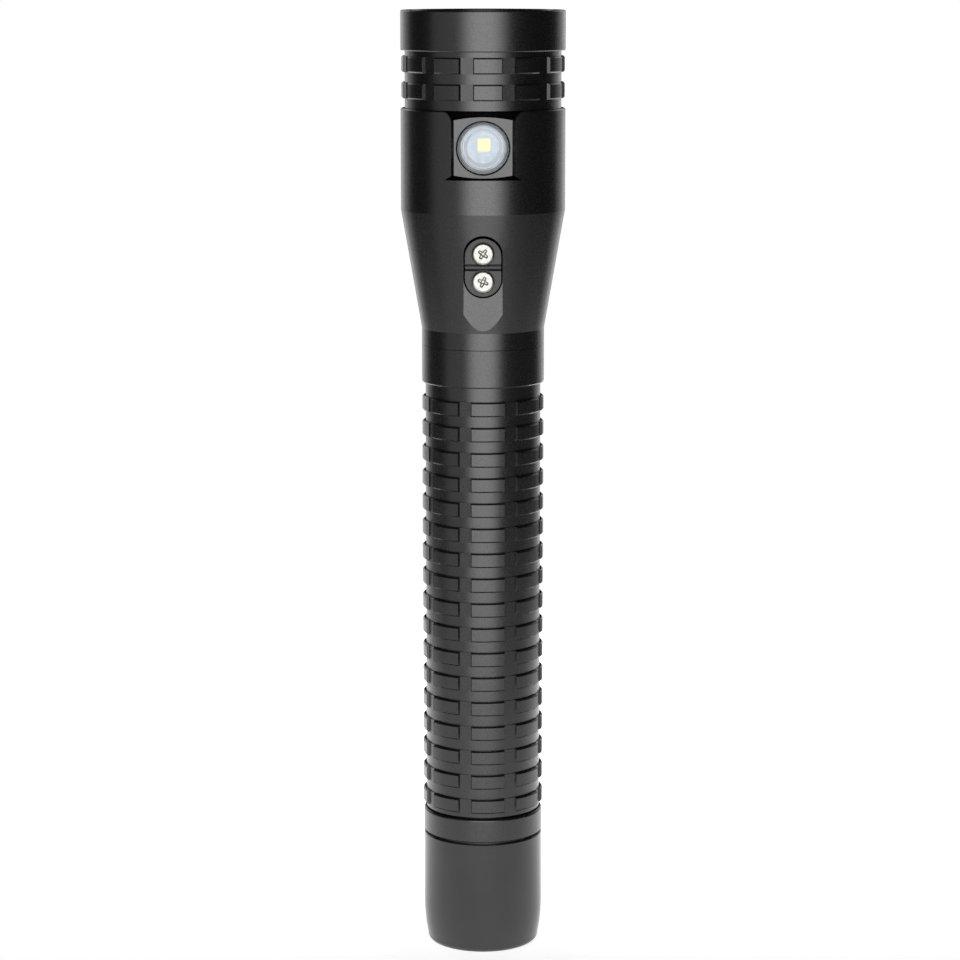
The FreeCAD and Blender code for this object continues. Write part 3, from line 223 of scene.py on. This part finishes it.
def settle(piece, body, slot, replaced=()):
    """Fix the piece's place in its mesh, finish it and let it ride."""
    bpy.ops.object.select_all(action="DESELECT")
    piece.select_set(True)
    bpy.context.view_layer.objects.active = piece
    bpy.ops.object.transform_apply(location=True, rotation=True, scale=True)
    bpy.ops.object.mode_set(mode="EDIT")
    bpy.ops.mesh.select_all(action="SELECT")
    bpy.ops.mesh.normals_make_consistent(inside=False)
    bpy.ops.object.mode_set(mode="OBJECT")
    bpy.ops.object.shade_smooth_by_angle(angle=SMOOTH_BELOW)
    piece.data.materials.clear()
    piece.data.materials.append(FINISH[slot])
    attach(piece, body)
    if replaced:
        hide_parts(*replaced)


THREAD_PITCH = 1.5 * MM
THREAD_TURNS = 4
THREAD_R = 12.5 * MM
THREAD_TOOTH_R = 0.62 * MM
THREAD_START = 1.0 * MM
THREAD_STEPS = 96


def neck_thread():
    """Rolled thread on the tail neck: one blunt tooth swept up as a helix."""
    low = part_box("handle_tube")[0].z + THREAD_START
    bpy.ops.object.select_all(action="DESELECT")
    bpy.ops.mesh.primitive_circle_add(vertices=6, radius=THREAD_TOOTH_R, location=(THREAD_R, 0, low),
                                      rotation=(math.pi / 2, 0, 0))
    piece = start_piece("neck_thread")
    bpy.ops.object.transform_apply(location=True, rotation=True, scale=True)
    sweep = piece.modifiers.new("sweep", "SCREW")
    sweep.axis = "Z"
    sweep.angle = 2 * math.pi
    sweep.screw_offset = THREAD_PITCH
    sweep.iterations = THREAD_TURNS
    sweep.steps = THREAD_STEPS
    sweep.render_steps = THREAD_STEPS
    bpy.ops.object.modifier_apply(modifier="sweep")
    bpy.ops.object.mode_set(mode="EDIT")
    bpy.ops.mesh.select_all(action="DESELECT")
    bpy.ops.mesh.select_non_manifold()
    bpy.ops.mesh.fill_holes(sides=0)
    bpy.ops.object.mode_set(mode="OBJECT")
    settle(piece, "flashlight", "anodised_aluminium")


def rounded_tile(name, middle, size, corner, axis):
    """A thin plate with rounded corners and a softened front edge, facing along an axis."""
    bpy.ops.object.select_all(action="DESELECT")
    bpy.ops.mesh.primitive_cube_add(size=1, location=middle, scale=size)
    piece = start_piece(name)
    bpy.ops.object.transform_apply(location=True, rotation=True, scale=True)
    bpy.ops.object.mode_set(mode="EDIT")
    bpy.ops.mesh.select_all(action="DESELECT")
    bpy.ops.object.mode_set(mode="OBJECT")
    for edge in piece.data.edges:
        ends = [piece.data.vertices[index].co for index in edge.vertices]
        edge.select = abs((ends[1] - ends[0])[axis]) > size[axis] * 0.9
    bpy.ops.object.mode_set(mode="EDIT")
    bpy.ops.mesh.select_mode(type="EDGE")
    bpy.ops.mesh.bevel(offset=corner, segments=6, affect="EDGES")
    bpy.ops.object.mode_set(mode="OBJECT")
    soften = piece.modifiers.new("soften", "BEVEL")
    soften.width = min(size[axis] * 0.25, corner * 0.4)
    soften.segments = 2
    soften.limit_method = "ANGLE"
    soften.angle_limit = math.radians(40)
    bpy.ops.object.modifier_apply(modifier="soften")
    return piece


def box_middle(node):
    """Middle and size of a CAD node's box."""
    low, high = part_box(node)
    return (low + high) / 2, high - low


LED_TILE_THICK = 0.6 * MM
LED_TILE_CORNER = 0.35 * MM
LED_CHIP = 1.12 * MM
LED_CHIP_THICK = 0.12 * MM
LED_CHIP_CORNER = 0.08 * MM
LED_CHIP_OFFSET = 0.61 * MM
LED_DOME_LIFT = 0.01 * MM
X, Y, Z = 0, 1, 2


def main_emitter():
    """LED under the front lens: ceramic tile, four phosphor chips with a faint painted glow, and a clear
    dome.
    """
    low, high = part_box("main_led")
    middle, size = box_middle("main_led")
    tile_top = low.z + LED_TILE_THICK
    tile = rounded_tile("led_tile", (middle.x, middle.y, (low.z + tile_top) / 2),
                        (size.x, size.y, LED_TILE_THICK), LED_TILE_CORNER, Z)
    settle(tile, "flashlight", "white_cup", ("main_led",))
    for number, (x, y) in enumerate(((-1, -1), (1, -1), (-1, 1), (1, 1)), start=1):
        centre = (middle.x + x * LED_CHIP_OFFSET, middle.y + y * LED_CHIP_OFFSET,
                  tile_top + LED_CHIP_THICK / 2)
        chip = rounded_tile("led_chip_%d" % number, centre, (LED_CHIP, LED_CHIP, LED_CHIP_THICK),
                            LED_CHIP_CORNER, Z)
        settle(chip, "flashlight", "phosphor")
    bpy.ops.object.select_all(action="DESELECT")
    bpy.ops.mesh.primitive_uv_sphere_add(segments=64, ring_count=32, radius=high.z - tile_top,
                                         location=(middle.x, middle.y, tile_top))
    dome = start_piece("led_dome")
    bpy.ops.object.transform_apply(location=True, rotation=True, scale=True)
    bpy.ops.object.mode_set(mode="EDIT")
    bpy.ops.mesh.select_all(action="SELECT")
    bpy.ops.mesh.bisect(plane_co=(middle.x, middle.y, tile_top + LED_DOME_LIFT), plane_no=(0, 0, 1),
                        use_fill=True, clear_inner=True)
    bpy.ops.object.mode_set(mode="OBJECT")
    settle(dome, "flashlight", "flood_glass")


SIDE_TILE_THICK = 0.5 * MM
SIDE_TILE_CORNER = 0.3 * MM
SIDE_TILE_WIDER = 1.08
SIDE_GLOW_THICK = 0.26 * MM
SIDE_GLOW_CORNER = 0.75 * MM
SIDE_GLOW_NARROWER = 0.92
SIDE_GLOW_SINK = 0.01 * MM
BOWL_LIP_R = 4.9 * MM
BOWL_LIP_BEAD_R = 0.16 * MM
BOWL_LIP_SINK = 0.55 * MM


def side_emitter():
    """LED of the side light: ceramic tile with one rounded square of phosphor."""
    middle, size = box_middle("flood_led")
    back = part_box("flood_led")[1].y
    tile = rounded_tile("side_led_tile", (middle.x, back - SIDE_TILE_THICK / 2, middle.z),
                        (size.x * SIDE_TILE_WIDER, SIDE_TILE_THICK, size.z * SIDE_TILE_WIDER),
                        SIDE_TILE_CORNER, Y)
    settle(tile, "flashlight", "white_cup", ("flood_led",))
    # the phosphor square, which glows only by the painted emission of its material
    glow_y = back - SIDE_TILE_THICK - SIDE_GLOW_THICK / 2 + SIDE_GLOW_SINK
    glow = rounded_tile("side_led_glow", (middle.x, glow_y, middle.z),
                        (size.x * SIDE_GLOW_NARROWER, SIDE_GLOW_THICK, size.z * SIDE_GLOW_NARROWER),
                        SIDE_GLOW_CORNER, Y)
    settle(glow, "flashlight", "phosphor")


def bowl_lip():
    """Bright bead round the mouth of the side light's bowl, just under its lens."""
    middle = box_middle("flood_reflector")[0]
    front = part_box("flood_reflector")[0].y
    bpy.ops.object.select_all(action="DESELECT")
    bpy.ops.mesh.primitive_torus_add(major_segments=96, minor_segments=12, major_radius=BOWL_LIP_R,
                                     minor_radius=BOWL_LIP_BEAD_R,
                                     location=(middle.x, front + BOWL_LIP_SINK, middle.z),
                                     rotation=(math.pi / 2, 0, 0))
    piece = start_piece("bowl_lip")
    settle(piece, "flashlight", "white_cup")


# Size of the painted-shade film round the contact block.
SHADE_FILM_WIDTH = 1.3 * MM
SHADE_FILM_THICK = 0.036 * MM
SHADE_FILM_PAST_SIDES = 0.36 * MM
SHADE_FILM_PAST_BOTTOM = 0.46 * MM
SHADE_FILM_PAST_TOP = 0.96 * MM
SHADE_FILM_BEHIND = 0.025 * MM


def contact_shade_film():
    """Painted shade: a thin near-black film on the floor of the well round the contact block, drawn as the
    black line of the shadowed gap.
    """
    low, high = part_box("contact_block")
    middle = box_middle("contact_block")[0]
    half = (high.x - low.x) / 2 + SHADE_FILM_PAST_SIDES
    bottom = low.z - SHADE_FILM_PAST_BOTTOM + half
    top = high.z + SHADE_FILM_PAST_TOP - half
    bpy.ops.object.select_all(action="DESELECT")
    bpy.ops.mesh.primitive_torus_add(major_segments=96, minor_segments=8,
                                     major_radius=half - SHADE_FILM_WIDTH / 2, minor_radius=SHADE_FILM_WIDTH / 2,
                                     location=(middle.x, high.y + SHADE_FILM_BEHIND, bottom),
                                     rotation=(math.pi / 2, 0, 0))
    piece = start_piece("contact_shade_film")
    piece.scale = (1, 1, SHADE_FILM_THICK / SHADE_FILM_WIDTH)
    bpy.ops.object.transform_apply(location=True, rotation=True, scale=True)
    bpy.ops.object.mode_set(mode="EDIT")
    bpy.ops.mesh.select_all(action="DESELECT")
    bpy.ops.mesh.select_mode(type="VERT")
    bpy.ops.object.mode_set(mode="OBJECT")
    for vertex in piece.data.vertices:
        vertex.select = vertex.co.z > bottom + SHADE_FILM_THICK
    bpy.ops.object.mode_set(mode="EDIT")
    bpy.ops.transform.translate(value=(0, 0, top - bottom))
    bpy.ops.object.mode_set(mode="OBJECT")
    # the film takes the near-black seal rubber so that the gap reads as painted shade
    settle(piece, "flashlight", "seal_rubber")


# ---- studio ----
CAMERA_DISTANCE = 0.784
CAMERA_ABOVE_TOP = 0.013
CAMERA_ASIDE = -0.00076
CAMERA_TILT = math.radians(9.565)
SENSOR = 36.0
LENS = 116.38


def add_camera():
    """Long lens in front, a little above the front lens, looking slightly down."""
    height = TOP + CAMERA_ABOVE_TOP
    bpy.ops.object.camera_add(location=(CAMERA_ASIDE, -CAMERA_DISTANCE, height),
                              rotation=(math.pi / 2 - CAMERA_TILT, 0, 0))
    camera = bpy.context.object
    camera.name = "camera"
    camera.data.sensor_width = SENSOR
    camera.data.lens = LENS
    camera.data.clip_start = 0.01
    camera.data.dof.use_dof = False
    bpy.context.scene.camera = camera


def add_softbox(name, location, aim, width, height, radiance):
    """A rectangular light turned towards a point; power follows its area and brightness."""
    bpy.ops.object.light_add(type="AREA", location=location)
    light = bpy.context.object
    light.name = name
    light.data.shape = "RECTANGLE"
    light.data.size = width
    light.data.size_y = height
    light.data.energy = radiance * width * height * math.pi
    toward = Vector(aim) - Vector(location)
    light.rotation_euler = toward.to_track_quat("-Z", "Y").to_euler()
    light.visible_camera = False


MIDDLE = (0, 0, 0.12)
KEY_ASIDE = 0.01
KEY_AWAY = 1.4
KEY_STEP = 0.01
KEY_TOP = 0.92
KEY_PANELS = ((0.9, 0.98), (1.2, 1.25), (1.5, 1.5), (1.95, 1.5))
KEY_RADIANCE = 0.79
RIM_HEIGHT = 1.8


def add_lights():
    """Key of four stacked panels for a soft-edged highlight, a fill, two rims a side, a small top light."""
    for number, (width, height) in enumerate(KEY_PANELS, start=1):
        centre = KEY_TOP - height / 2
        away = -KEY_AWAY - KEY_STEP * number
        add_softbox("key_%d" % number, (KEY_ASIDE, away, centre), (0, 0, centre), width, height, KEY_RADIANCE)
    add_softbox("left_fill", (-1.2, -0.78, 0.3), MIDDLE, 0.95, 1.4, 0.42)
    add_softbox("overhead", (0, 0.1, 1.6), MIDDLE, 0.5, 0.5, 0.8)
    for side, x in (("left", -1), ("right", 1)):
        add_softbox(side + "_rim", (0.55 * x, 1.2, 0.05), MIDDLE, 0.5, RIM_HEIGHT, 0.7)
        add_softbox(side + "_wide_rim", (0.72 * x, 1.1, 0.05), MIDDLE, 0.95, RIM_HEIGHT, 0.6)


def set_world():
    """White behind the object for the camera, a dim room for everything else."""
    world = bpy.data.worlds.new("studio")
    bpy.context.scene.world = world
    world.use_nodes = True
    tree = world.node_tree
    room = tree.nodes["Background"]
    room.inputs["Color"].default_value = (0.02, 0.02, 0.02, 1.0)
    seen = tree.nodes.new("ShaderNodeBackground")
    seen.inputs["Color"].default_value = (1.0, 1.0, 1.0, 1.0)
    path = tree.nodes.new("ShaderNodeLightPath")
    mix = tree.nodes.new("ShaderNodeMixShader")
    tree.links.new(path.outputs["Is Camera Ray"], mix.inputs["Fac"])
    tree.links.new(room.outputs["Background"], mix.inputs[1])
    tree.links.new(seen.outputs["Background"], mix.inputs[2])
    tree.links.new(mix.outputs["Shader"], tree.nodes["World Output"].inputs["Surface"])
    bpy.context.scene.view_settings.view_transform = "Standard"


FLOOR_R = 0.62
FLOOR_SOLID_R = 0.14
FLOOR_GLOW_FRONT = 0.68
FLOOR_GLOW_BEHIND = 1.9
FLOOR_GLOW_STARTS = -0.06
FLOOR_GLOW_ENDS = 0.2


def add_floor():
    """Pale round floor that fades out towards its rim and glows brighter behind the object."""
    bpy.ops.object.select_all(action="DESELECT")
    bpy.ops.mesh.primitive_circle_add(vertices=96, radius=FLOOR_R, fill_type="NGON", location=(0, 0, 0))
    floor = bpy.context.object
    floor.name = "floor"
    material, shader = new_material("pale_floor", (0.88, 0.88, 0.88), 0.8)
    shader.inputs["Emission Color"].default_value = (1.0, 1.0, 1.0, 1.0)
    tree = material.node_tree
    coords = tree.nodes.new("ShaderNodeTexCoord")
    parts = tree.nodes.new("ShaderNodeSeparateXYZ")
    tree.links.new(coords.outputs["Object"], parts.inputs["Vector"])
    glow = tree.nodes.new("ShaderNodeMapRange")
    glow.interpolation_type = "SMOOTHSTEP"
    glow.inputs["From Min"].default_value = FLOOR_GLOW_STARTS
    glow.inputs["From Max"].default_value = FLOOR_GLOW_ENDS
    glow.inputs["To Min"].default_value = FLOOR_GLOW_FRONT
    glow.inputs["To Max"].default_value = FLOOR_GLOW_BEHIND
    tree.links.new(parts.outputs["Y"], glow.inputs["Value"])
    tree.links.new(glow.outputs["Result"], shader.inputs["Emission Strength"])
    length = tree.nodes.new("ShaderNodeVectorMath")
    length.operation = "LENGTH"
    tree.links.new(coords.outputs["Object"], length.inputs[0])
    fade = tree.nodes.new("ShaderNodeMapRange")
    fade.interpolation_type = "SMOOTHERSTEP"
    fade.inputs["From Min"].default_value = FLOOR_SOLID_R
    fade.inputs["From Max"].default_value = FLOOR_R
    fade.inputs["To Min"].default_value = 1.0
    fade.inputs["To Max"].default_value = 0.0
    tree.links.new(length.outputs["Value"], fade.inputs["Value"])
    tree.links.new(fade.outputs["Result"], shader.inputs["Alpha"])
    floor.data.materials.append(material)


finish_cad_nodes()
neck_thread()
main_emitter()
side_emitter()
bowl_lip()
contact_shade_film()
add_camera()
add_lights()
set_world()
add_floor()
